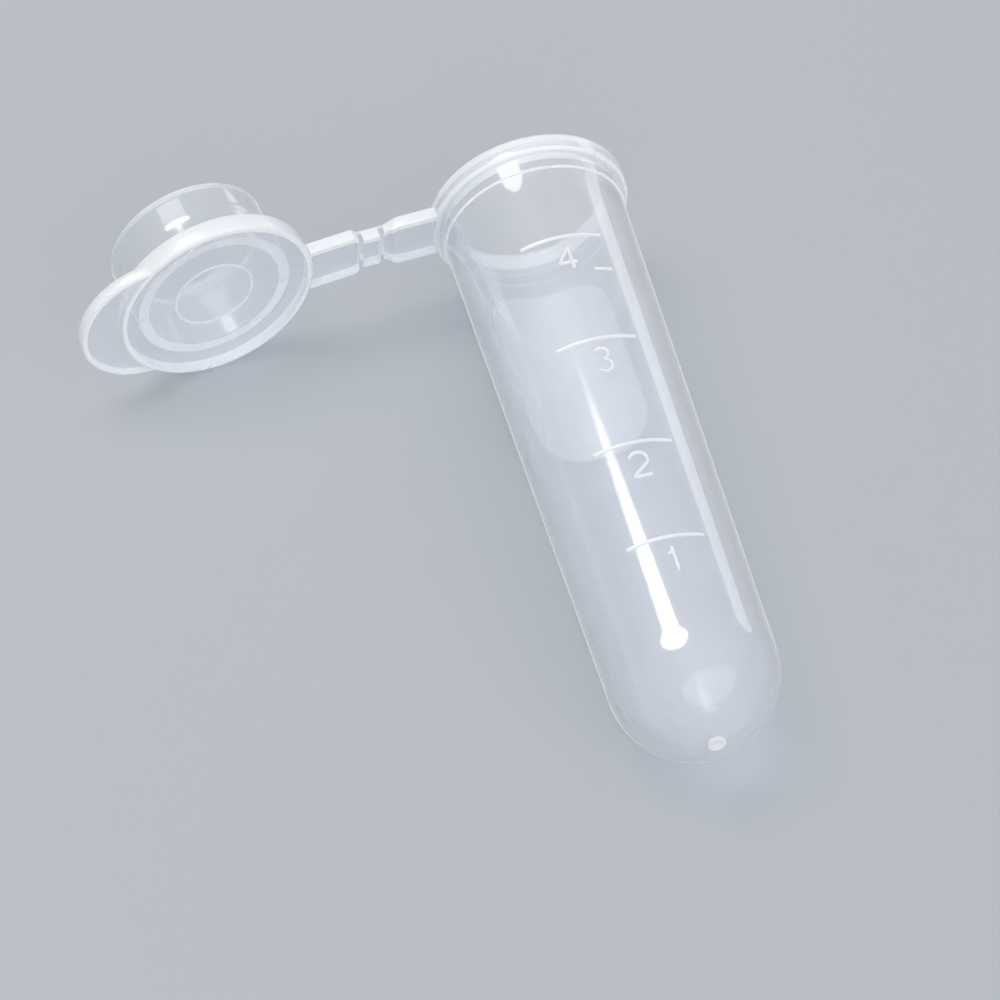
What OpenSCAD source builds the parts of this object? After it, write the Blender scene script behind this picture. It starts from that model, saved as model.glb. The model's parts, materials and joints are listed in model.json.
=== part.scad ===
// Snap-cap centrifuge tube of the 5 ml size, moulded in one piece, lying open on its side.
// It is drawn standing, mouth up and mouth plane at z = 0, strap toward -X and graduations
// toward -Y. The lid is drawn closed. lie() then lays the tube down with the graduations up.

/* [Barrel] */
// Overall length from the mouth to the round bottom
tube_len = 51.6; // [44:0.1:62]
// Outer radius of the wall at the mouth
mouth_r = 6.8; // [6.5:0.05:8.2]
// Outer radius of the wall where the round bottom starts
bottom_r = 6.25; // [5.2:0.05:6.4]
// Wall thickness
wall = 0.75; // [0.6:0.05:0.95]
// Wall thickness at the tip of the round bottom
bottom_wall = 0.9; // [0.8:0.05:1.5]
// Depth of the straight bore that the plug seals in
bore_len = 5.5; // [4:0.1:7]
// Widening of the bore at the very mouth
lead_in = 0.15; // [0.05:0.05:0.3]
// Radius of the gate mark under the round bottom
gate_r = 0.7; // [0.4:0.1:1.2]
// Height of the gate mark
gate_h = 0.12; // [0.05:0.01:0.3]

/* [Mouth flange] */
// How far the flange stands out of the wall
flange_w = 0.65; // [0.5:0.05:1.5]
// Thickness of the flange
flange_t = 1.5; // [1.2:0.1:2]
// Edge rounding of the flange
flange_round = 0.25; // [0.1:0.05:0.4]
// Depth below the mouth that the collar under the flange reaches
collar_len = 2.8; // [2.2:0.1:3.6]
// Thickness of the collar over the wall
collar_t = 0.15; // [0.1:0.05:0.3]

/* [Graduations] */
// Depth of the four lines below the mouth, from the bottom one up
line_s = [37.7, 28.95, 19.15, 9.4];
// Angle that a line covers around the wall
line_angle = 54; // [40:1:70]
// Depth of the short line between the upper two
short_line_s = 12.7; // [11.5:0.1:16]
// Length of the short line, which ends where the others end on the right
short_line_len = 1.2; // [0.8:0.1:2.4]
// Width of a line
line_w = 0.3; // [0.2:0.05:0.5]
// Height of the lines, the numerals and the writing panel's print over the wall
relief = 0.15; // [0.08:0.01:0.25]
// Height of a numeral
numeral_h = 2.4; // [1.8:0.1:2.8]
// Width of a numeral
numeral_w = 1.7; // [1.2:0.1:2]
// Stroke width of a numeral
stroke_w = 0.28; // [0.2:0.02:0.36]
// Gap between a line and the numeral under it
numeral_gap = 0.8; // [0.5:0.1:1.2]

/* [Writing panel] */
// Depth below the mouth where the frosted panel starts
panel_top = 4.2; // [3.8:0.1:6]
// Length of the panel along the tube
panel_len = 16.1; // [12:0.1:20]
// Width of the panel across the tube
panel_w = 9.8; // [7:0.1:10.4]
// Corner radius of the panel
panel_corner = 2.8; // [1:0.1:3.2]
// Height of the panel over the wall
panel_h = 0.08; // [0.05:0.01:0.15]

/* [Strap] */
// Distance from the flange's edge to the hinge lines of the closed lid
hinge_reach = 3.98; // [3.4:0.01:5.5]
// Depth below the mouth of the strap's upper face, at the flange
strap_s = 0.5; // [0.3:0.05:0.5]
// Drop of the strap from the flange to its hinge line
strap_drop = 0.31; // [0.1:0.01:0.5]
// Thickness of the strap
strap_t = 1; // [0.8:0.05:1.1]
// How much thinner the strap is next to its hinge
strap_step = 0.25; // [0.1:0.05:0.4]
// Width of the strap on the tube
base_strap_w = 4.2; // [3.6:0.1:5]
// Width of the middle link
link_w = 3.15; // [2.4:0.05:3.5]
// Width of the strap on the lid
lid_strap_w = 4.1; // [3.6:0.1:5]
// Thickness of the two thin hinge lines
web_t = 0.25; // [0.2:0.05:0.4]
// Width of the groove at a hinge line
groove_w = 0.43; // [0.3:0.01:0.6]
// Angle that each hinge line lies past straight in the open tube
over_open = 4.2; // [0:0.1:8]

/* [Lid] */
// How far the lid plate reaches past the flange
lid_over = 0.15; // [0:0.05:0.6]
// Thickness of the lid plate
lid_t = 1.6; // [1.4:0.1:2]
// Gap between the closed lid plate and the mouth
lid_gap = 0.05; // [0.02:0.01:0.1]
// Length of the sealing plug
plug_len = 4.9; // [3.5:0.1:5.2]
// Wall thickness of the sealing plug
plug_wall = 0.8; // [0.6:0.05:1.1]
// Gap between the plug's seal bead and the bore
seal_gap = 0.05; // [0.03:0.01:0.1]
// How far the seal bead stands out of the plug
bead_h = 0.06; // [0.03:0.01:0.1]
// Depth of the seal bead below the lid plate
bead_s = 2.3; // [1.8:0.1:2.8]
// Radius of the fine ring groove inside the plug
ring_r = 3; // [2:0.1:4]
// Radius of the thumb tab's curved edge
tab_r = 5.6; // [5:0.1:6]
// How far the tab reaches past the lid plate
tab_reach = 3.1; // [2.4:0.1:4]
// Thickness of the thumb tab
tab_t = 1; // [0.8:0.1:1.2]

/* [Hidden] */
$fn = 96;
eps = 0.01;

body_s = tube_len - bottom_r;          // depth of the round bottom's centre
bore_r = mouth_r - wall;
flange_r = mouth_r + flange_w;
hinge_r = flange_r + hinge_reach;
lid_r = flange_r + lid_over;
tab_x = lid_r + tab_reach - tab_r;     // distance from the lid's centre to the tab's
inner_bottom_r = bottom_r - wall;
inner_bottom_s = tube_len - bottom_wall - inner_bottom_r;
lead_in_len = 2 * lead_in;
plug_r = bore_r - seal_gap - bead_h;
ring_groove_w = 0.2;
ring_groove_d = 0.12;
plate_round = 0.25;
lip_round = 0.3;

// the strap, seen along Y as [x, z]
strap_end_r = hinge_r - groove_w / 2;
thin_from_r = strap_end_r - 0.7;
thin_to_r = strap_end_r - 0.3;
strap_chamfer = (base_strap_w - link_w) / 2;
lid_strap_z = lid_t - strap_t;
base_hinge = [-hinge_r, -(strap_s + strap_drop + web_t / 2)];
closed_lid_hinge = [-hinge_r, lid_strap_z + web_t / 2];
link_len = closed_lid_hinge[1] + lid_gap - base_hinge[1];
link_turn = 90 + over_open;
lid_turn = 2 * link_turn;
function turned(p, angle) =
    [p[0] * cos(angle) - p[1] * sin(angle), p[0] * sin(angle) + p[1] * cos(angle)];
open_lid_hinge = base_hinge + turned([0, link_len], link_turn);
function on_open_link(p) = base_hinge + turned(p, link_turn);
function on_open_lid(p) = open_lid_hinge + turned(p - closed_lid_hinge, lid_turn);
function strap_top(r) = -strap_s - strap_drop * (r - flange_r) / (hinge_r - flange_r);
function wall_r(s) = s < collar_len ? mouth_r
    : mouth_r - (mouth_r - bottom_r) * (s - collar_len) / (body_s - collar_len);

// how the open tube lies: flange and round bottom level, the lid's rim on the ground
seat_drop = body_s - flange_t;
seat_reach = sqrt(flange_r * flange_r + seat_drop * seat_drop);
lie_tilt = acos(bottom_r / seat_reach) - atan2(seat_drop, flange_r);
lid_centre = on_open_lid([0, lid_t]);
lie_height = lid_r * cos(lie_tilt) - lid_centre[1] * sin(lie_tilt);
tab_tip = on_open_lid([tab_x + tab_r, lid_t - tab_t / 2]);
plug_tip = on_open_lid([-plug_r, -plug_len]);
lie_x = -(tab_tip[0] - tab_t / 2 * sin(2 * over_open) + flange_r) / 2;
lie_y = ((tube_len + gate_h) * cos(lie_tilt) - plug_tip[1]) / 2;

module lie()
    translate([lie_x, lie_y, lie_height]) rotate([lie_tilt - 90, 0, 0]) children();

// moves something drawn on the closed lid to where the open lid is
module open_lid()
    lie()
        translate([open_lid_hinge[0], 0, open_lid_hinge[1]])
            rotate([0, -lid_turn, 0])
                translate([-closed_lid_hinge[0], 0, -closed_lid_hinge[1]]) children();

// a strip of the strap: its outline along Y, as wide as width
module strip(outline, width)
    rotate([90, 0, 0]) linear_extrude(width, center = true) polygon(outline);

// the wall's outside, swollen by extra, from depth top to depth end
module wall_skin(extra, top, end)
    translate([0, 0, -end])
        cylinder(h = end - top, r1 = wall_r(end) + extra, r2 = wall_r(top) + extra);

// a layer on the wall's outside, cut to the shape of its children
module relief_layer(height, top, end)
    intersection() {
        difference() {
            wall_skin(height, top, end);
            wall_skin(0, top, end);
        }
        children();
    }

module barrel()
    color([0.80, 0.85, 0.90]) lie() difference() {
        union() {
            translate([0, 0, -collar_len]) cylinder(h = collar_len, r = mouth_r);
            wall_skin(0, collar_len, body_s);
            translate([0, 0, -body_s]) rotate_extrude() intersection() {
                circle(r = bottom_r);
                translate([0, -bottom_r]) square(bottom_r);
            }
        }
        translate([0, 0, -bore_len]) cylinder(h = bore_len + 1, r = bore_r);
        translate([0, 0, -lead_in_len])
            cylinder(h = lead_in_len, r1 = bore_r, r2 = bore_r + lead_in);
        translate([0, 0, -inner_bottom_s])
            cylinder(h = inner_bottom_s - bore_len, r1 = inner_bottom_r, r2 = bore_r);
        translate([0, 0, -inner_bottom_s]) rotate_extrude() intersection() {
            circle(r = inner_bottom_r);
            translate([0, -inner_bottom_r]) square(inner_bottom_r);
        }
    }

module flange_shape()
    rotate_extrude() {
        translate([mouth_r, -collar_len]) square([collar_t, collar_len]);
        translate([mouth_r, -flange_t])
            square([flange_r - flange_round - mouth_r, flange_t]);
        translate([mouth_r, -flange_t + flange_round])
            square([flange_r - mouth_r, flange_t - 2 * flange_round]);
        for (z = [-flange_round, -flange_t + flange_round])
            translate([flange_r - flange_round, z]) circle(r = flange_round);
    }

module mouth_flange()
    color([0.86, 0.90, 0.94]) lie() flange_shape();

module base_strap() {
    root_r = flange_r - flange_round;
    outline = [
        [-root_r, strap_top(root_r)],
        [-strap_end_r, strap_top(strap_end_r)],
        [-strap_end_r, strap_top(strap_end_r) - strap_t + strap_step],
        [-thin_to_r, strap_top(thin_to_r) - strap_t + strap_step],
        [-thin_from_r, strap_top(thin_from_r) - strap_t],
        [-root_r, strap_top(root_r) - strap_t]
    ];
    half_w = base_strap_w / 2;
    plan = [
        [0, half_w],
        [-(strap_end_r - 2 * strap_chamfer), half_w],
        [-strap_end_r, half_w - strap_chamfer],
        [-strap_end_r, strap_chamfer - half_w],
        [-(strap_end_r - 2 * strap_chamfer), -half_w],
        [0, -half_w]
    ];
    color([0.84, 0.88, 0.92]) lie() difference() {
        intersection() {
            strip(outline, base_strap_w);
            translate([0, 0, -3 * flange_t]) linear_extrude(4 * flange_t) polygon(plan);
        }
        flange_shape();
    }
}

module graduation_lines()
    color([0.92, 0.95, 0.98]) lie() {
        for (s = line_s)
            relief_layer(relief, s - 1, s + 1)
                union() {
                    translate([0, 0, -s - line_w / 2])
                        rotate([0, 0, -90 - line_angle / 2])
                            rotate_extrude(angle = line_angle) square([2 * mouth_r, line_w]);
                    for (side = [-1, 1])
                        rotate([90, 0, side * line_angle / 2])
                            translate([0, -s, 0]) cylinder(h = 2 * mouth_r, r = line_w / 2);
                }
        half = short_line_len / 2;
        relief_layer(relief, short_line_s - 1, short_line_s + 1)
            rotate([90, 0, line_angle / 2 - asin(half / mouth_r)])
                translate([0, -short_line_s, 0]) stroke([-half, 0], [half, 0]);
    }

// part of a ring in a numeral: centre line of radius r from angle from, through angle turn
module stroke_arc(r, from, turn)
    rotate([0, 0, from]) {
        rotate_extrude(angle = turn)
            translate([r - stroke_w / 2, 0]) square([stroke_w, 2 * mouth_r]);
        for (end = [0, turn])
            rotate([0, 0, end]) translate([r, 0]) cylinder(h = 2 * mouth_r, r = stroke_w / 2);
    }

// straight stroke of a numeral from point p to point q
module stroke(p, q) {
    d = q - p;
    translate([p[0], p[1], 0]) rotate([0, 0, atan2(d[1], d[0])]) {
        translate([0, -stroke_w / 2, 0]) cube([norm(d), stroke_w, 2 * mouth_r]);
        cylinder(h = 2 * mouth_r, r = stroke_w / 2);
        translate([norm(d), 0, 0]) cylinder(h = 2 * mouth_r, r = stroke_w / 2);
    }
}

// a numeral lies in x from -w to w and in y from 0 to h, which are its strokes' centre lines
module numeral(digit) {
    w = (numeral_w - stroke_w) / 2;
    h = numeral_h - stroke_w;
    if (digit == 1) {
        stroke([0.25 * w, 0], [0.25 * w, h]);
        translate([0.25 * w - 0.8 * w, h]) stroke_arc(0.8 * w, -75, 75);
    }
    if (digit == 2) {
        top_r = 0.92 * w;
        translate([0, h - top_r]) stroke_arc(top_r, -35, 200);
        stroke([top_r * cos(35), h - top_r - top_r * sin(35)], [-w, 0]);
        stroke([-w, 0], [w, 0]);
    }
    if (digit == 3) {
        top_r = 0.25 * h - 0.02;
        low_r = h / 2 - top_r;
        translate([0, h - top_r]) stroke_arc(top_r, -90, 230);
        translate([0, low_r]) stroke_arc(low_r, -145, 235);
    }
    if (digit == 4) {
        stroke([0.35 * w, 0], [0.35 * w, h]);
        stroke([0.35 * w, h], [-w, 0.3 * h]);
        stroke([-w, 0.3 * h], [w, 0.3 * h]);
    }
}

module graduation_numerals()
    color([0.92, 0.95, 0.98]) lie() for (digit = [1, 2, 3, 4]) {
        top = line_s[digit - 1] + numeral_gap;
        relief_layer(relief, top - 0.5, top + numeral_h + 0.5)
            rotate([90, 0, 0]) translate([0, -top - numeral_h + stroke_w / 2, 0])
                numeral(digit);
    }

module writing_panel() {
    half = panel_w / 2 - panel_corner;
    end = panel_top + panel_len;
    color([0.90, 0.93, 0.96]) lie() relief_layer(panel_h, panel_top - 0.5, end + 0.5)
        rotate([-90, 0, 0]) union() {
            translate([-panel_w / 2, panel_top + panel_corner, 0])
                cube([panel_w, panel_len - 2 * panel_corner, 2 * mouth_r]);
            translate([-half, panel_top, 0]) cube([2 * half, panel_len, 2 * mouth_r]);
            for (x = [-half, half], y = [panel_top + panel_corner, end - panel_corner])
                translate([x, y, 0]) cylinder(h = 2 * mouth_r, r = panel_corner);
        }
}

module gate_mark()
    color([0.92, 0.95, 0.98]) lie() difference() {
        translate([0, 0, -tube_len - gate_h]) cylinder(h = 2 * gate_h + wall / 2, r = gate_r);
        translate([0, 0, -body_s]) sphere(r = bottom_r);
    }

module hinge_web_tube()
    color([0.92, 0.95, 0.98]) lie() strip([
        [-strap_end_r, strap_top(strap_end_r)],
        on_open_link([web_t / 2, groove_w / 2]),
        on_open_link([-web_t / 2, groove_w / 2]),
        [-strap_end_r, strap_top(strap_end_r) - web_t]
    ], link_w);

module hinge_link()
    color([0.84, 0.88, 0.92]) lie() strip([
        on_open_link([web_t / 2, groove_w / 2]),
        on_open_link([web_t / 2, link_len - groove_w / 2]),
        on_open_link([web_t / 2 - strap_t, link_len - groove_w / 2]),
        on_open_link([web_t / 2 - strap_t, groove_w / 2])
    ], link_w);

module hinge_web_lid()
    color([0.92, 0.95, 0.98]) lie() strip([
        on_open_link([web_t / 2, link_len - groove_w / 2]),
        on_open_lid([-strap_end_r, lid_strap_z]),
        on_open_lid([-strap_end_r, lid_strap_z + web_t]),
        on_open_link([-web_t / 2, link_len - groove_w / 2])
    ], link_w);

module lid_plate()
    color([0.84, 0.88, 0.92]) open_lid() difference() {
        rotate_extrude() {
            square([lid_r - plate_round, lid_t]);
            translate([0, plate_round]) square([lid_r, lid_t - 2 * plate_round]);
            for (z = [plate_round, lid_t - plate_round])
                translate([lid_r - plate_round, z]) circle(r = plate_round);
        }
        translate([0, 0, -eps]) difference() {
            cylinder(h = ring_groove_d + eps, r = ring_r + ring_groove_w / 2);
            translate([0, 0, -1]) cylinder(h = 2, r = ring_r - ring_groove_w / 2);
        }
    }

module sealing_plug() {
    inner_r = plug_r - plug_wall;
    color([0.90, 0.93, 0.96]) open_lid() rotate_extrude() {
        translate([inner_r, -plug_len + lip_round]) square([plug_wall, plug_len - lip_round]);
        translate([inner_r + lip_round, -plug_len]) square([plug_wall - 2 * lip_round, plug_len]);
        for (r = [inner_r + lip_round, plug_r - lip_round])
            translate([r, -plug_len + lip_round]) circle(r = lip_round);
        // the seal bead, a low round swelling
        intersection() {
            translate([plug_r + bead_h - 2 * bead_s / 3, -bead_s]) circle(r = 2 * bead_s / 3);
            translate([plug_r - eps, -2 * bead_s]) square([1, 2 * bead_s]);
        }
    }
}

module thumb_tab()
    color([0.84, 0.88, 0.92]) open_lid() difference() {
        translate([tab_x, 0, lid_t - tab_t]) cylinder(h = tab_t, r = tab_r);
        cylinder(h = 3 * lid_t, r = lid_r, center = true);
        translate([-lid_r, -lid_r, -lid_t]) cube([lid_r, 2 * lid_r, 3 * lid_t]);
    }

module lid_strap() {
    chamfer = 0.3;
    half_w = lid_strap_w / 2;
    plan = [
        [-strap_end_r, half_w - chamfer],
        [-strap_end_r + chamfer, half_w],
        [0, half_w],
        [0, -half_w],
        [-strap_end_r + chamfer, -half_w],
        [-strap_end_r, chamfer - half_w]
    ];
    color([0.84, 0.88, 0.92]) open_lid() difference() {
        translate([0, 0, lid_strap_z]) linear_extrude(strap_t) polygon(plan);
        cylinder(h = 3 * lid_t, r = lid_r, center = true);
    }
}

barrel();
mouth_flange();
base_strap();
graduation_lines();
graduation_numerals();
writing_panel();
gate_mark();
hinge_web_tube();
hinge_link();
hinge_web_lid();
lid_plate();
sealing_plug();
thumb_tab();
lid_strap();
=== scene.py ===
import json
import math

import bmesh
import bpy
import numpy as np
from mathutils import Matrix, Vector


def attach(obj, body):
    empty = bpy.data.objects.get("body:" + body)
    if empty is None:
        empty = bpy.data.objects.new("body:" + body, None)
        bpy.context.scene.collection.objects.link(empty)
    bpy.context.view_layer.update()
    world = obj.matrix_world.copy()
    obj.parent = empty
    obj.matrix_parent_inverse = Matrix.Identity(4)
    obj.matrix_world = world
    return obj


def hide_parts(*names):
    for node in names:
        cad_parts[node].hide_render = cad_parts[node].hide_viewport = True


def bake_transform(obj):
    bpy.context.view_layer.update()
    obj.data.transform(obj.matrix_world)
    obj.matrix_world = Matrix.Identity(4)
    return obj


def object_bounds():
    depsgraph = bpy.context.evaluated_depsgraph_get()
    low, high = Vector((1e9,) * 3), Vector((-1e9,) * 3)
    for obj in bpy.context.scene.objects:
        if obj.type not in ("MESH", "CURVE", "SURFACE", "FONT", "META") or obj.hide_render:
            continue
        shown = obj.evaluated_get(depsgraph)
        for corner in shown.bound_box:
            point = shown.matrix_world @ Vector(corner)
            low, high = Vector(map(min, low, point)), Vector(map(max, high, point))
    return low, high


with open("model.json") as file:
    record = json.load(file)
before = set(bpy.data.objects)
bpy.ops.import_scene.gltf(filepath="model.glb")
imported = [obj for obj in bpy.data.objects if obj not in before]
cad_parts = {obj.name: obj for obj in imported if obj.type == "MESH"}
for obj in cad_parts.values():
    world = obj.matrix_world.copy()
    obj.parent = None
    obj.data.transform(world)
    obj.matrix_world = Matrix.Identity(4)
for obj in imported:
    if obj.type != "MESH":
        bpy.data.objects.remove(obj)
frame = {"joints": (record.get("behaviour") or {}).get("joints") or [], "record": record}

# How the tube lies. It is drawn from its mouth: depth runs from the mouth plane to the round bottom,
# rise is above the tube's axis and side is across it, away from the strap. The strap's two fold lines
# give the open lid its place.
mm = 0.001
cad_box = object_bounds()
record = frame["record"]
mouth_bore = next(m for m in record["mounts"] if m["name"] == "mouth_bore")
lead_in_depth = 0.3 * mm
mouthward = np.array(mouth_bore["axis"])
sideways = np.array([1.0, 0.0, 0.0])
upward = np.cross(sideways, mouthward)
mouth = np.array(mouth_bore["pos_m"]) + lead_in_depth * mouthward
tube_hinge, lid_hinge = [np.array(j["pos_m"]) for j in frame["joints"]]
fold_turn = math.radians(frame["joints"][0]["range_deg"][1])


def tube_point(side, rise, depth):
    """The place of points that lie side across, rise above the axis and depth below the mouth."""
    side, rise, depth = np.broadcast_arrays(side, rise, depth)
    return (mouth + side[..., None] * sideways + rise[..., None] * upward
            - depth[..., None] * mouthward)


# The barrel with its mouth flange and collar. It is one injection moulding in natural polypropylene,
# so it is one skin: a profile of the outside, the rim and the bore, turned about the tube's axis.
mouth_r = 6.8 * mm
bottom_r = 6.25 * mm
wall = 0.75 * mm
tube_length = 51.6 * mm
bottom_wall = 0.9 * mm
flange_r = 7.45 * mm
flange_t = 1.5 * mm
collar_r = 6.95 * mm
collar_depth = 2.8 * mm
bore_r = mouth_r - wall
bore_depth = 5.5 * mm
rim_r = bore_r + 0.15 * mm
flange_round = 0.25 * mm
step_round = 0.06 * mm
painted_glow_depth = 0.7 * mm
back_depth = 0.26 * mm
below_collar_depth = 5 * mm
taper_below_collar = 0.02 * mm
ball_depth = tube_length - bottom_r
inner_ball_r = bottom_r - wall
inner_ball_depth = tube_length - bottom_wall - inner_ball_r


def rounded_outline(corners, steps=6):
    """A chain of points through corners (x, y, radius). An arc of the corner's radius, tangent to both
    sides, takes each inner corner's place: its points are its two ends turned about its centre."""
    chain = [np.array(corners[0][:2])[None]]
    almost_straight = 3.13
    for before, corner, after in zip(corners, corners[1:], corners[2:]):
        point = np.array(corner[:2])
        radius = corner[2]
        back = np.array(before[:2]) - point
        ahead = np.array(after[:2]) - point
        back = back / np.linalg.norm(back)
        ahead = ahead / np.linalg.norm(ahead)
        opening = math.acos(np.clip(back @ ahead, -1, 1))
        if radius == 0 or opening > almost_straight:
            chain.append(point[None])
            continue
        middle = (back + ahead) / np.linalg.norm(back + ahead)
        centre = point + middle * radius / math.sin(opening / 2)
        reach = radius / math.tan(opening / 2)
        first = point + back * reach - centre
        last = point + ahead * reach - centre
        swing = math.pi - opening
        share = np.linspace(0, 1, steps)[:, None]
        arc = np.sin((1 - share) * swing) * first + np.sin(share * swing) * last
        chain.append(centre + arc / math.sin(swing))
    chain.append(np.array(corners[-1][:2])[None])
    return np.concatenate(chain)


def add_skin(name, stacks, ends="filled", second=None, crease=35):
    """A mesh from stacks of rings: rings[i, j] is point j round ring i. Neighbouring rings are joined by
    four-sided faces. The end rings are filled, or meet in a pole. Faces where second is true get the
    second material. Doubles are merged, the faces turned outwards and edges over crease degrees sharp."""
    points = []
    faces = []
    marks = []
    start = 0
    for rings in stacks:
        count, around = rings.shape[:2]
        index = start + np.arange(count * around).reshape(count, around)
        onward = np.roll(index, -1, axis=1)
        quads = np.stack([index[:-1], onward[:-1], onward[1:], index[1:]], axis=-1)
        faces += quads.reshape(-1, 4).tolist()
        band = np.zeros((count - 1, around), int)
        if second is not None:
            band = band + np.asarray(second, int)
        marks += band.ravel().tolist()
        if ends == "filled":
            faces += [index[0][::-1].tolist(), index[-1].tolist()]
            marks += [0, 0]
        points.append(rings.reshape(-1, 3))
        start += count * around
    mesh = bpy.data.meshes.new(name)
    mesh.from_pydata(np.concatenate(points).tolist(), [], faces)
    mesh.polygons.foreach_set("material_index", marks)
    shape = bmesh.new()
    shape.from_mesh(mesh)
    bmesh.ops.remove_doubles(shape, verts=shape.verts, dist=1e-7)
    bmesh.ops.recalc_face_normals(shape, faces=shape.faces)
    shape.to_mesh(mesh)
    shape.free()
    mesh.polygons.foreach_set("use_smooth", np.ones(len(mesh.polygons), bool))
    mesh.set_sharp_from_angle(angle=math.radians(crease))
    piece = bpy.data.objects.new(name, mesh)
    bpy.context.scene.collection.objects.link(piece)
    return piece


def turned_rings(profile, place, around=160):
    """Rings from a profile of (radius, depth): each point of it is carried round the axis, so its side is
    radius times the sine and its rise radius times the cosine of the angle."""
    angle = np.linspace(0, 2 * math.pi, around, endpoint=False)
    radius = profile[:, :1]
    depth = profile[:, 1:]
    return place(radius * np.sin(angle), radius * np.cos(angle), depth + 0 * angle)


def quarter(radius, depth, steps=40):
    """The profile of half a ball from its pole to its equator: the radius times the angle's sine, and its
    centre's depth plus the radius times the cosine."""
    angle = np.linspace(0, math.pi / 2, steps)
    return np.stack([radius * np.sin(angle), depth + radius * np.cos(angle)], axis=1)


def wall_radius(depth):
    """The wall's outer radius: constant down to the collar's end, then in a straight taper to the bottom,
    by the share of the way that the depth has come."""
    share = np.clip((depth - collar_depth) / (ball_depth - collar_depth), 0, 1)
    return mouth_r + (bottom_r - mouth_r) * share


rim_outline = rounded_outline([
    (mouth_r - taper_below_collar, below_collar_depth, 0),
    (mouth_r, collar_depth, step_round),
    (collar_r, collar_depth, step_round),
    (collar_r, flange_t, 0.1 * mm),
    (flange_r, flange_t, flange_round),
    (flange_r, painted_glow_depth, 0),
    (flange_r, 0, flange_round),
    (rim_r, 0, 0.12 * mm),
    (bore_r, lead_in_depth, 0.1 * mm),
    (bore_r, flange_t + 0.1 * mm, 0),
    (bore_r, bore_depth, 0)])
shell_profile = np.concatenate([
    quarter(bottom_r, ball_depth), rim_outline, quarter(inner_ball_r, inner_ball_depth)[::-1]])
shell_rings = turned_rings(shell_profile, tube_point)
profile_depth = (shell_profile[1:, 1] + shell_profile[:-1, 1]) / 2
profile_r = (shell_profile[1:, 0] + shell_profile[:-1, 0]) / 2
# The mouth, the bore's lip, the flange's back rounding and the collar's step take the second material:
# painted edge glow, with thin painted highlight lines at the back rounding and the step.
at_mouth = profile_depth < painted_glow_depth
at_bore = (profile_r < rim_r) & (profile_depth < flange_t)
at_back = (profile_r > flange_r - flange_round) & (profile_depth > flange_t - back_depth)
at_step = (profile_r > mouth_r) & (abs(profile_depth - collar_depth) < step_round)
painted_glow_rim = at_mouth | at_bore | at_back | at_step
tube_shell = add_skin("tube_shell", [shell_rings], ends="poles", second=painted_glow_rim[:, None])


def linear(code):
    """The linear colour of an sRGB hex value."""
    parts = [int(code[i:i + 2], 16) / 255 for i in (1, 3, 5)]
    return [p / 12.92 if p <= 0.04045 else ((p + 0.055) / 1.055) ** 2.4 for p in parts] + [1]


def add_node(tree, kind, settings=None, links=None):
    """Adds a node. A setting is one of its properties or an input's value; a link feeds an input."""
    node = tree.nodes.new(kind)
    for name, value in (settings or {}).items():
        if isinstance(name, str) and hasattr(node, name):
            setattr(node, name, value)
        else:
            node.inputs[name].default_value = value
    for name, source in (links or {}).items():
        tree.links.new(source, node.inputs[name])
    return node


def new_tree(name):
    """A new material's empty node tree, with its material."""
    material = bpy.data.materials.new(name)
    material.use_nodes = True
    material.node_tree.nodes.clear()
    return material, material.node_tree


def polypropylene(name, thin, milky, through, rough, gloss, haze, grain, grain_depth, lamps):
    """Natural polypropylene: the crystals in it scatter some light, so part of it shows its own milky
    colour and the rest passes, bent and blurred. A smooth coat stands for the polished surface, and a
    white haze for the longer way through a wall that is seen edge on. Lamps reach what lies behind it
    by the share lamps."""
    cloud_size = 3.5 * mm
    material, tree = new_tree(name)
    place = add_node(tree, "ShaderNodeTexCoord").outputs["Object"]
    clouds = add_node(tree, "ShaderNodeTexNoise", {"Scale": 1 / cloud_size, "Detail": 3.0},
                      {"Vector": place})
    colour = add_node(tree, "ShaderNodeMix", {"data_type": "RGBA", 6: linear(thin), 7: linear(milky)},
                      {0: clouds.outputs["Fac"]})
    blur = add_node(tree, "ShaderNodeMapRange", {"To Min": 0.8 * rough, "To Max": 1.2 * rough},
                    {"Value": clouds.outputs["Fac"]})
    skin = add_node(tree, "ShaderNodeTexNoise", {"Scale": 1 / grain, "Detail": 2.0}, {"Vector": place})
    bump = add_node(tree, "ShaderNodeBump", {"Strength": 1.0, "Distance": grain_depth},
                    {"Height": skin.outputs["Fac"]})
    body = add_node(tree, "ShaderNodeBsdfPrincipled",
                    {"IOR": 1.49, "Transmission Weight": through, "Coat Weight": gloss,
                     "Coat Roughness": 0.07, "Coat IOR": 1.49, "Sheen Weight": haze,
                     "Sheen Roughness": 0.2},
                    {"Base Color": colour.outputs[2], "Roughness": blur.outputs["Result"],
                     "Normal": bump.outputs["Normal"]})
    passed = add_node(tree, "ShaderNodeBsdfTransparent", {"Color": linear("#f8fafc")})
    ray = add_node(tree, "ShaderNodeLightPath")
    share = add_node(tree, "ShaderNodeMath", {"operation": "MULTIPLY", 1: lamps},
                     {0: ray.outputs["Is Shadow Ray"]})
    both = add_node(tree, "ShaderNodeMixShader", {},
                    {0: share.outputs[0], 1: body.outputs[0], 2: passed.outputs[0]})
    add_node(tree, "ShaderNodeOutputMaterial", {}, {"Surface": both.outputs[0]})
    return material


# Polished walls: clear enough to read the far wall through the near one.
walls = polypropylene("natural_polypropylene_polished", thin="#edf0f6", milky="#f8f9fc", through=0.77,
                      rough=0.06, gloss=1.0, haze=1.0, grain=1.5 * mm, grain_depth=0.004 * mm,
                      lamps=0.92)
# Thick rims and edges gather the light scattered inside the moulding, so they look white. This whiter,
# nearly opaque copy of the plastic paints that in: painted edge glow.
edges = polypropylene("natural_polypropylene_edges_painted_glow", thin="#f4f7fa", milky="#fcfdff", through=0.12,
                      rough=0.28, gloss=0.6, haze=0.0, grain=1.0 * mm, grain_depth=0.004 * mm,
                      lamps=0.7)


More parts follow.
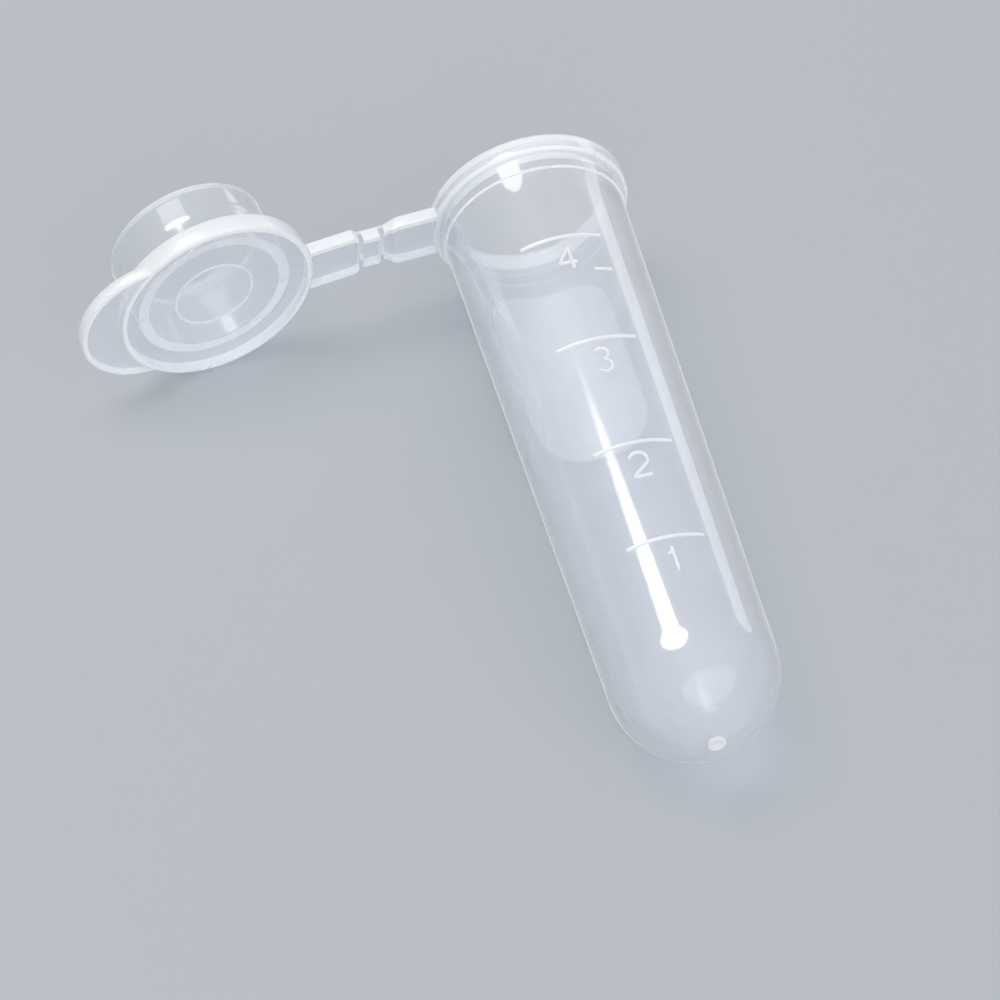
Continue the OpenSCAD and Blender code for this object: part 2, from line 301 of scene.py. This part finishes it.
def dress(piece, body, cad_nodes, slot, *materials):
    """Gives a piece its materials, the body it moves with and the CAD nodes it stands for. The slot is not
    used.
    """
    for material in materials:
        piece.data.materials.append(material)
    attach(piece, body)
    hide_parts(*cad_nodes)


dress(tube_shell, "tube", ["barrel", "mouth_flange"], "clear_polypropylene", walls, edges)

# The graduations. Four lines with their numerals and one short line stand proud of the outer wall: they
# were cut into the mould, so each is a low rounded ridge with round ends, sunk a little into the wall.
line_depths = [37.7 * mm, 28.95 * mm, 19.15 * mm, 9.4 * mm]
line_half_angle = math.radians(27)
short_line_depth = 12.7 * mm
short_line_angle = 1.5 * mm / mouth_r
line_width = 0.3 * mm
ridge_height = 0.15 * mm
ridge_root = 0.05 * mm
numeral_gap = 0.8 * mm
numeral_height = 2.4 * mm
numeral_width = 1.7 * mm
stroke_width = 0.28 * mm
line_points = 90
short_line_points = 30


def ridge_rings(angle, depth, width):
    """A ridge along a line on the wall, given by angle from the top and depth. Its section is half an
    ellipse across the line over a shallow root. Over half a width at both ends it shrinks as a circle
    does, to a tenth."""
    end_size = 0.1
    radius = wall_radius(depth)
    line = tube_point(radius * np.sin(angle), radius * np.cos(angle), depth)
    outward = np.sin(angle)[:, None] * sideways + np.cos(angle)[:, None] * upward
    along = np.gradient(line, axis=0)
    along /= np.linalg.norm(along, axis=1)[:, None]
    across = np.cross(outward, along)
    step = np.linalg.norm(np.diff(line, axis=0), axis=1)
    run = np.concatenate([[0], np.cumsum(step)])
    from_end = np.minimum(run, run[-1] - run)
    end_share = np.clip(1 - from_end / (width / 2), 0, 1)
    size = np.sqrt(np.maximum(1 - end_share ** 2, end_size ** 2))[:, None]
    turn = np.linspace(0, math.pi, 9)
    spread = np.concatenate([np.cos(turn), [-1, 1]]) * width / 2
    height = np.concatenate([np.sin(turn) * ridge_height, [-ridge_root, -ridge_root]])
    sideway = across[:, None] * (size * spread)[..., None]
    return line[:, None] + sideway + outward[:, None] * (size * height)[..., None]


def arc(centre, radius, start, end, steps=24):
    """Points on a circle about centre, from angle start to end in degrees."""
    angle = np.radians(np.linspace(start, end, steps))
    return np.stack([centre[0] + radius * np.cos(angle), centre[1] + radius * np.sin(angle)], axis=1)


def numeral_strokes(digit):
    """The centre lines of a numeral's strokes. x runs across and y up, from the foot's middle."""
    half = (numeral_width - stroke_width) / 2
    tall = numeral_height - stroke_width
    if digit == 1:
        flag = arc((-0.55 * half, tall), 0.8 * half, -75, -4, 10)
        return [np.concatenate([flag, [[0.25 * half, tall], [0.25 * half, 0]]])]
    if digit == 2:
        bow_r = 0.92 * half
        bow = arc((0, tall - bow_r), bow_r, 165, -35, 24)
        foot = rounded_outline([(*bow[-1], 0), (-half, 0, 0.05 * mm), (half, 0, 0)])
        return [np.concatenate([bow, foot[1:]])]
    if digit == 4:
        stem_x = 0.35 * half
        left = (-half, 0.3 * tall)
        right_end = (half, 0.3 * tall)
        top = (stem_x, tall)
        return [np.array([left, top]), np.array([top, (stem_x, 0)]), np.array([left, right_end])]
    top_r = tall / 4 - 0.02 * mm
    low_r = tall / 2 - top_r
    return [arc((0, tall - top_r), top_r, 140, -90), arc((0, low_r), low_r, 90, -145)]


def refined(path, step=0.04 * mm):
    """The same chain with a point at about every step of its length, and 8 or more in all."""
    run = np.concatenate([[0], np.cumsum(np.linalg.norm(np.diff(path, axis=0), axis=1))])
    even = np.linspace(0, run[-1], max(int(run[-1] / step), 8))
    return np.stack([np.interp(even, run, path[:, 0]), np.interp(even, run, path[:, 1])], axis=1)


# Raised marks: glossy like the walls, the ridges bend light so much that they look white; a whiter, less
# clear copy of the plastic paints that in as a painted highlight.
raised = polypropylene("natural_polypropylene_raised_marks_painted_highlight", thin="#f4f7fa", milky="#ffffff",
                       through=0.25, rough=0.2, gloss=1.0, haze=0.0, grain=0.5 * mm,
                       grain_depth=0.002 * mm, lamps=0.7)
line_stacks = []
for depth in line_depths:
    angle = np.linspace(-line_half_angle, line_half_angle, line_points)
    line_stacks.append(ridge_rings(angle, np.full(line_points, depth), line_width))
short_angle = np.linspace(line_half_angle - short_line_angle, line_half_angle, short_line_points)
short_depth = np.full(short_line_points, short_line_depth)
line_stacks.append(ridge_rings(short_angle, short_depth, stroke_width))
graduation_lines = add_skin("graduation_lines_raised", line_stacks)
dress(graduation_lines, "tube", ["graduation_lines"], "raised_polypropylene", raised)

numeral_stacks = []
for digit, line_depth in zip((1, 2, 3, 4), line_depths):
    foot_depth = line_depth + numeral_gap + numeral_height - stroke_width / 2
    for stroke in numeral_strokes(digit):
        path = refined(stroke)
        depth = foot_depth - path[:, 1]
        numeral_stacks.append(ridge_rings(path[:, 0] / wall_radius(depth), depth, stroke_width))
graduation_numerals = add_skin("graduation_numerals_raised", numeral_stacks)
dress(graduation_numerals, "tube", ["graduation_numerals"], "raised_polypropylene", raised)

# The writing panel, a frosted field on the underside of the wall. The mould is blasted there, so the
# plastic comes out matt and grainy: a thin patch that follows the wall, with round corners.
panel_top = 4.2 * mm
panel_length = 16.1 * mm
panel_width = 9.8 * mm
panel_corner = 2.8 * mm
panel_height = 0.08 * mm
panel_root = 0.04 * mm
panel_row = 41


def panel_rings():
    """The patch: a row of points across for each depth, out over the wall one way and back under it the
    other. The half width is the straight part plus the root of the corner's radius squared less the
    inset squared, where the inset is how far into a corner the depth lies."""
    turn = np.linspace(0, math.pi / 2, 14)
    near = panel_corner * (1 - np.cos(turn))
    from_top = np.concatenate([near, np.linspace(panel_corner, panel_length - panel_corner, 40)[1:-1],
                               panel_length - near[::-1]])
    inset = np.clip(panel_corner - np.minimum(from_top, panel_length - from_top), 0, None)
    half = panel_width / 2 - panel_corner + np.sqrt(panel_corner ** 2 - inset ** 2)
    depth = (panel_top + from_top)[:, None]
    across = half[:, None] * np.linspace(-1, 1, panel_row)
    both = np.concatenate([across, across[:, ::-1]], axis=1)
    lift = np.repeat([panel_height, -panel_root], panel_row)
    radius = wall_radius(depth)
    angle = np.arcsin(both / radius)
    return tube_point((radius + lift) * np.sin(angle), -(radius + lift) * np.cos(angle), depth + 0 * both)


# Frosted plastic: the fine grain of the blasted mould scatters nearly all light, and has no gloss.
frosted = polypropylene("natural_polypropylene_blasted", thin="#f2f4f7", milky="#fbfcfd",
                        through=0.20, rough=0.55, gloss=0.0, haze=0.0, grain=0.2 * mm,
                        grain_depth=0.012 * mm, lamps=0.8)
writing_panel = add_skin("writing_panel_frosted", [panel_rings()])
dress(writing_panel, "tube", ["writing_panel"], "frosted_polypropylene", frosted)

# The gate mark at the tip of the round bottom, where the plastic entered the mould and was snapped off: a
# low pip with a dimple in it. It takes the raised marks' material, so its white is a painted highlight.
gate_r = 0.7 * mm
gate_height = 0.12 * mm
gate_root = 0.15 * mm
gate_profile = rounded_outline([
    (0, tube_length + 0.4 * gate_height, 0),
    (0.35 * gate_r, tube_length + 0.5 * gate_height, 0.1 * mm),
    (0.6 * gate_r, tube_length + gate_height, 0.1 * mm),
    (gate_r, tube_length + gate_height, 0.05 * mm),
    (gate_r, tube_length - gate_root, 0),
    (0, tube_length - gate_root, 0)])
gate_mark = add_skin("gate_mark_pip", [turned_rings(gate_profile, tube_point, 48)], ends="poles")
dress(gate_mark, "tube", ["gate_mark"], "raised_polypropylene", raised)

# The strap on the tube, moulded in one with the flange. A flat tongue leaves the flange, droops a
# little, and narrows and thins to its fold line. Each length of strap is a rounded oblong section
# carried along it.
strap_t = 1.0 * mm
strap_depth = 0.5 * mm
strap_drop = 0.31 * mm
web_t = 0.25 * mm
groove_w = 0.43 * mm
base_strap_w = 4.2 * mm
link_w = 3.15 * mm
lid_strap_w = 4.1 * mm
thinning = 0.25 * mm
hinge_r = mouth[0] - tube_hinge[0]
strap_end_r = hinge_r - groove_w / 2
strap_root = 0.3 * mm
narrow_from = strap_end_r - 1.05 * mm
thin_from = strap_end_r - 0.7 * mm
thin_to = strap_end_r - 0.3 * mm
section_corner = 0.1 * mm
painted_glow_margin = 0.45 * mm
corner_points = 6


def section_rings(start, along, inward, run, face, width, thickness):
    """Rings round a strap. Along it, run is the way from start and face the height of its mouth side in
    the inward direction. A section is an oblong of width and thickness. Each corner is a quarter turn of
    the corner's radius about a centre set in by that radius, then a point a margin in on the wide face."""
    run, face, width, thickness = np.broadcast_arrays(run, face, width, thickness)
    turn = np.linspace(0, math.pi / 2, corner_points - 1)
    x = np.append(section_corner * (np.cos(turn) - 1), -painted_glow_margin)
    y = np.append(section_corner * (np.sin(turn) - 1), 0)
    corner_x = np.repeat([1, -1, -1, 1], corner_points)
    corner_y = np.repeat([1, 1, -1, -1], corner_points)
    rise = width[:, None] / 2 * corner_x + np.concatenate([x, -x[::-1], -x, x[::-1]])
    height = (face - thickness / 2)[:, None] + thickness[:, None] / 2 * corner_y
    height = height + np.concatenate([y, y[::-1], -y, -y[::-1]])
    base = start + run[:, None] * along
    return base[:, None] + rise[..., None] * upward + height[..., None] * inward


# The middles of the two wide faces follow the first and the third corner. All but these get the painted
# edge glow.
painted_glow_faces = ~np.isin(np.arange(4 * corner_points), [corner_points - 1, 3 * corner_points - 1])

base_run = np.array([flange_r - strap_root, 8.5 * mm, narrow_from, thin_from, thin_to,
                     strap_end_r - 0.05 * mm, strap_end_r])
slope = strap_drop / (hinge_r - flange_r)
base_face = -strap_depth - slope * (base_run - flange_r)
base_width = np.interp(base_run, [narrow_from, strap_end_r], [base_strap_w, link_w])
base_thick = np.interp(base_run, [thin_from, thin_to], [strap_t, strap_t - thinning])
base_strap = add_skin("strap_on_tube", [section_rings(
    mouth, -sideways, mouthward, base_run, base_face, base_width, base_thick)],
    second=painted_glow_faces, crease=30)
dress(base_strap, "tube", ["base_strap"], "clear_polypropylene", walls, edges)

# The middle link, a short bar of the strap between the two fold lines. It is moulded at the strap's full
# thickness, so it stays stiff while the thin lines fold.
link_along = -math.sin(fold_turn) * sideways + math.cos(fold_turn) * mouthward
link_inward = math.cos(fold_turn) * sideways + math.sin(fold_turn) * mouthward
link_length = np.linalg.norm(lid_hinge - tube_hinge)
link_run = np.linspace(groove_w / 2, link_length - groove_w / 2, 5)
middle_link = add_skin("strap_middle_link", [section_rings(
    tube_hinge, link_along, link_inward, link_run, web_t / 2, link_w, strap_t)],
    second=painted_glow_faces, crease=30)
dress(middle_link, "middle_link", ["hinge_link"], "clear_polypropylene", walls, edges)

# How the lid lies. It is past its own fold line, twice as far round from closed as the link, and is
# drawn from the middle of its plate's inner face.
lid_turn = 2 * fold_turn
lid_along = math.cos(lid_turn) * sideways + math.sin(lid_turn) * mouthward
lid_outward = -math.sin(lid_turn) * sideways + math.cos(lid_turn) * mouthward
lid_r = 7.6 * mm
lid_t = 1.6 * mm
lid_strap_rise = lid_t - strap_t
lid_centre = lid_hinge + hinge_r * lid_along - (lid_strap_rise + web_t / 2) * lid_outward


def lid_point(side, rise, depth):
    """The place of points on the lid: side toward the thumb tab, rise across it and depth from the
    plate's inner face into the plug."""
    side, rise, depth = np.broadcast_arrays(side, rise, depth)
    return (lid_centre + side[..., None] * lid_along + rise[..., None] * upward
            - depth[..., None] * lid_outward)


# The strap on the lid. It is moulded in one with the lid plate, level with its outer face, and runs into
# its rim. The end at the fold line is narrower.
lid_strap_root = 0.25 * mm
lid_strap_step = 0.3 * mm
lid_run = np.array([strap_end_r, strap_end_r - lid_strap_step, strap_end_r - 2 * lid_strap_step,
                    lid_r - lid_strap_root])
lid_width = np.array([lid_strap_w - 2 * lid_strap_step, lid_strap_w, lid_strap_w, lid_strap_w])
lid_strap = add_skin("strap_on_lid", [section_rings(
    lid_centre, -lid_along, -lid_outward, lid_run, -lid_strap_rise, lid_width, strap_t)],
    second=painted_glow_faces, crease=30)
dress(lid_strap, "lid", ["lid_strap"], "clear_polypropylene", walls, edges)

# The two thin fold lines, moulded as grooves across the strap. Folding draws the plastic, so they turn
# whiter than the rest.
folded = polypropylene("natural_polypropylene_fold_whitened", thin="#eef2f6", milky="#ffffff",
                       through=0.3, rough=0.3, gloss=0.8, haze=0.0, grain=0.4 * mm,
                       grain_depth=0.004 * mm, lamps=0.7)


def fold_web(name, hinge, before, after, cad_node):
    """A thin web across the groove. Its middle runs in direction before to the hinge line and on in
    direction after. Its section turns evenly: it looks along before times the rest of the share of the
    way plus after times that share."""
    web_overlap = 0.03 * mm
    side_inset = 0.05 * mm
    share = np.linspace(0, 1, 14)[:, None]
    half = groove_w / 2 + web_overlap
    line = np.where(share < 0.5, hinge - (0.5 - share) * 2 * half * before,
                    hinge + (share - 0.5) * 2 * half * after)
    along = before * (1 - share) + after * share
    along /= np.linalg.norm(along, axis=1)[:, None]
    inward = np.cross(along, upward)
    inward *= np.sign(inward @ mouthward)[:, None]
    corner = np.array([(1, 1), (-1, 1), (-1, -1), (1, -1)])
    rings = (line[:, None] + corner[:, 0][None, :, None] * upward * (link_w / 2 - side_inset)
             + corner[:, 1][None, :, None] * inward[:, None] * web_t / 2)
    web = add_skin(name, [rings], crease=60)
    web.data.materials.append(folded)
    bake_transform(web)
    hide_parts(cad_node)


base_along = -sideways - slope * mouthward
base_along /= np.linalg.norm(base_along)
fold_web("fold_line_tube", tube_hinge, base_along, link_along, "hinge_web_tube")
fold_web("fold_line_lid", lid_hinge, link_along, lid_along, "hinge_web_lid")

# The lid plate, a moulded disc with a round rim and, inside the plug, a fine ring groove. The rim, a
# margin in from it on both faces, and the groove get the painted edge glow, as all edges do.
plate_round = 0.25 * mm
groove_r = 3.0 * mm
groove_half = 0.1 * mm
groove_floor_half = 0.08 * mm
groove_deep = 0.12 * mm
plate_profile = rounded_outline([
    (0, -lid_t, 0),
    (lid_r - painted_glow_margin, -lid_t, 0),
    (lid_r, -lid_t, plate_round),
    (lid_r, 0, plate_round),
    (lid_r - painted_glow_margin, 0, 0),
    (groove_r + groove_half, 0, 0.03 * mm),
    (groove_r + groove_floor_half, -groove_deep, 0.02 * mm),
    (groove_r - groove_floor_half, -groove_deep, 0.02 * mm),
    (groove_r - groove_half, 0, 0.03 * mm),
    (0, 0, 0)])
plate_r = (plate_profile[1:, 0] + plate_profile[:-1, 0]) / 2
on_plate_rim = plate_r > lid_r - painted_glow_margin
on_groove = abs(plate_r - groove_r) < 1.5 * groove_half
lid_plate = add_skin("lid_plate_disc", [turned_rings(plate_profile, lid_point)], ends="poles",
                     second=(on_plate_rim | on_groove)[:, None])
dress(lid_plate, "lid", ["lid_plate"], "clear_polypropylene", walls, edges)

# The sealing plug, a hollow collar that presses into the bore, with a round lip and a low seal bead.
# Its root runs into the plate, where the plastic is thick; the root and the lip get the painted edge glow.
plug_r = 5.94 * mm
plug_wall = 0.8 * mm
plug_inner_r = plug_r - plug_wall
plug_length = 4.9 * mm
plug_root = 0.1 * mm
lip_round = 0.3 * mm
painted_glow_lip = 0.35 * mm
bead_r = plug_r + 0.06 * mm
bead_depth = 2.3 * mm
bead_half = 0.45 * mm
plug_profile = rounded_outline([
    (plug_inner_r, -plug_root, 0),
    (plug_r, -plug_root, 0),
    (plug_r, bead_depth - bead_half, 0.5 * mm),
    (bead_r, bead_depth, 1.0 * mm),
    (plug_r, bead_depth + bead_half, 0.5 * mm),
    (plug_r, plug_length, lip_round),
    (plug_inner_r, plug_length, lip_round),
    (plug_inner_r, -plug_root, 0)])
plug_depth = (plug_profile[1:, 1] + plug_profile[:-1, 1]) / 2
plug_painted_glow = (plug_depth < -0.9 * plug_root) | (plug_depth > plug_length - painted_glow_lip)
sealing_plug = add_skin("sealing_plug_collar", [turned_rings(plug_profile, lid_point)], ends="poles",
                        second=plug_painted_glow[:, None])
dress(sealing_plug, "lid", ["sealing_plug"], "clear_polypropylene", walls, edges)

# The thumb tab, a crescent that stands out of the plate opposite the strap. It is moulded in one with the
# plate, thinner and level with its outer face, and its round edge gets the painted edge glow.
tab_r = 5.6 * mm
tab_reach = 3.1 * mm
tab_x = lid_r + tab_reach - tab_r
tab_t = 1.0 * mm
tab_round = 0.3 * mm
tab_root = 0.15 * mm
tab_sections = 61
edge_points = 9
section_points = edge_points + 4


def tab_rings():
    """Sections of the crescent: each runs from the plate's rim out to the tab's circle, round its edge
    and back. The crescent ends where the circles cross: at x, root radius squared less tab radius squared
    plus centre distance squared, over twice that distance."""
    root_r = lid_r - tab_root
    cross_x = (root_r ** 2 - tab_r ** 2 + tab_x ** 2) / (2 * tab_x)
    end_angle = math.acos(cross_x / root_r)
    angle = np.linspace(-end_angle, end_angle, tab_sections)
    root = np.stack([root_r * np.cos(angle), root_r * np.sin(angle)], axis=1)
    tab_end = math.atan2(math.sin(end_angle) * root_r, cross_x - tab_x)
    outer_angle = np.linspace(-tab_end, tab_end, tab_sections)
    tip = np.stack([tab_x + tab_r * np.cos(outer_angle), tab_r * np.sin(outer_angle)], axis=1)
    turn = np.linspace(-math.pi / 2, math.pi / 2, edge_points)
    round_edge = tab_round * (1 - np.cos(turn))
    inset = np.concatenate([[0, painted_glow_margin], round_edge, [painted_glow_margin, 0]])
    deep = np.concatenate([[-tab_t / 2, -tab_t / 2],
                           np.sign(turn) * (tab_t / 2 - tab_round) + tab_round * np.sin(turn),
                           [tab_t / 2, tab_t / 2]])
    reach = np.linalg.norm(tip - root, axis=1)[:, None]
    share = np.clip(1 - inset / np.maximum(reach, 1e-9), 0, 1)
    share[:, [0, -1]] = 0
    flat = root[:, None] + share[..., None] * (tip - root)[:, None]
    return lid_point(flat[..., 0], flat[..., 1], deep - lid_t + tab_t / 2)


# A section's first and last point lie on the root, and the second and last but one a margin in from the
# edge: what lies between these gets the painted edge glow.
tab_painted_glow = np.isin(np.arange(section_points), np.arange(1, section_points - 2))
thumb_tab = add_skin("thumb_tab_crescent", [tab_rings()], second=tab_painted_glow)
dress(thumb_tab, "lid", ["thumb_tab"], "clear_polypropylene", walls, edges)

# The floor that the tube lies on, a plain pale sheet of laminate. It is matt enough not to mirror the
# lamps in low views.
floor_mesh = bpy.data.meshes.new("floor")
floor_half = 3.0
floor_mesh.from_pydata([(-floor_half, -floor_half, 0), (floor_half, -floor_half, 0),
                        (floor_half, floor_half, 0), (-floor_half, floor_half, 0)], [], [(0, 1, 2, 3)])
floor = bpy.data.objects.new("floor", floor_mesh)
bpy.context.scene.collection.objects.link(floor)
floor_paint, floor_tree = new_tree("pale_laminate")
floor_body = add_node(floor_tree, "ShaderNodeBsdfPrincipled",
                      {"Base Color": linear("#bbbfc4"), "Roughness": 0.6, "IOR": 1.45})
add_node(floor_tree, "ShaderNodeOutputMaterial", {}, {"Surface": floor_body.outputs[0]})
floor_mesh.materials.append(floor_paint)

# Light: a wide soft lamp above and behind gives the bright streak that widens along the wall and a weak
# low one on the right a pale band. A very wide one in front lights the lid and the white rims, and does
# not show in reflections. A pale room does the rest.
middle = (np.array(cad_box[0]) + np.array(cad_box[1])) / 2


def add_lamp(name, toward, distance, along, size, power):
    """A soft oval lamp in direction toward from the object, facing it. Its second size lies along."""
    data = bpy.data.lights.new(name, "AREA")
    data.shape = "ELLIPSE"
    data.size, data.size_y = size
    data.energy = power
    lamp = bpy.data.objects.new(name, data)
    bpy.context.scene.collection.objects.link(lamp)
    direction = np.array(toward) / np.linalg.norm(toward)
    across = np.cross(along, direction)
    across /= np.linalg.norm(across)
    axes = np.stack([across, np.cross(direction, across), direction], axis=1)
    lamp.location = middle + distance * direction
    lamp.rotation_euler = Matrix(axes.tolist()).to_euler()
    return lamp


add_lamp("key_lamp", toward=(-0.302, 0.295, 0.907), distance=0.75, along=(-0.25, -0.83, 0.49),
         size=(0.46, 0.45), power=2.2)
add_lamp("side_lamp", toward=(0.78, 0.58, 0.14), distance=0.9, along=(0, 0, 1),
         size=(0.50, 0.25), power=0.30)
front_lamp = add_lamp("front_lamp", toward=(0.2, -0.87, 0.45), distance=1.5, along=(0, 0, 1),
                      size=(2.4, 1.4), power=13.5)
front_lamp.visible_glossy = False

world = bpy.data.worlds.new("pale_room")
bpy.context.scene.world = world
world.use_nodes = True
world.node_tree.nodes.clear()
sky = add_node(world.node_tree, "ShaderNodeBackground", {"Color": linear("#eceef1"), "Strength": 0.54})
add_node(world.node_tree, "ShaderNodeOutputWorld", {}, {"Surface": sky.outputs[0]})

# The camera looks down the tube from behind its round bottom. Its place is given from the middle of the
# mouth: back along its look, then to its left and down.
camera_distance = 618.2 * mm
camera_left = 1.91 * mm
camera_down = 22.08 * mm
camera_data = bpy.data.cameras.new("camera")
camera_data.lens = 301.0
camera_data.sensor_width = 36.0
camera_data.clip_end = 20.0
camera = bpy.data.objects.new("camera", camera_data)
bpy.context.scene.collection.objects.link(camera)
turn = math.radians(-14.96)
tip = math.radians(50.18)
look = np.array([-math.sin(turn) * math.cos(tip), math.cos(turn) * math.cos(tip), -math.sin(tip)])
right = np.array([math.cos(turn), math.sin(turn), 0.0])
camera.location = (mouth - camera_distance * look - camera_left * right
                   - camera_down * np.cross(right, look))
camera.rotation_euler = (math.pi / 2 - tip, 0, turn)
bpy.context.scene.camera = camera
bpy.context.scene.view_settings.view_transform = "Standard"
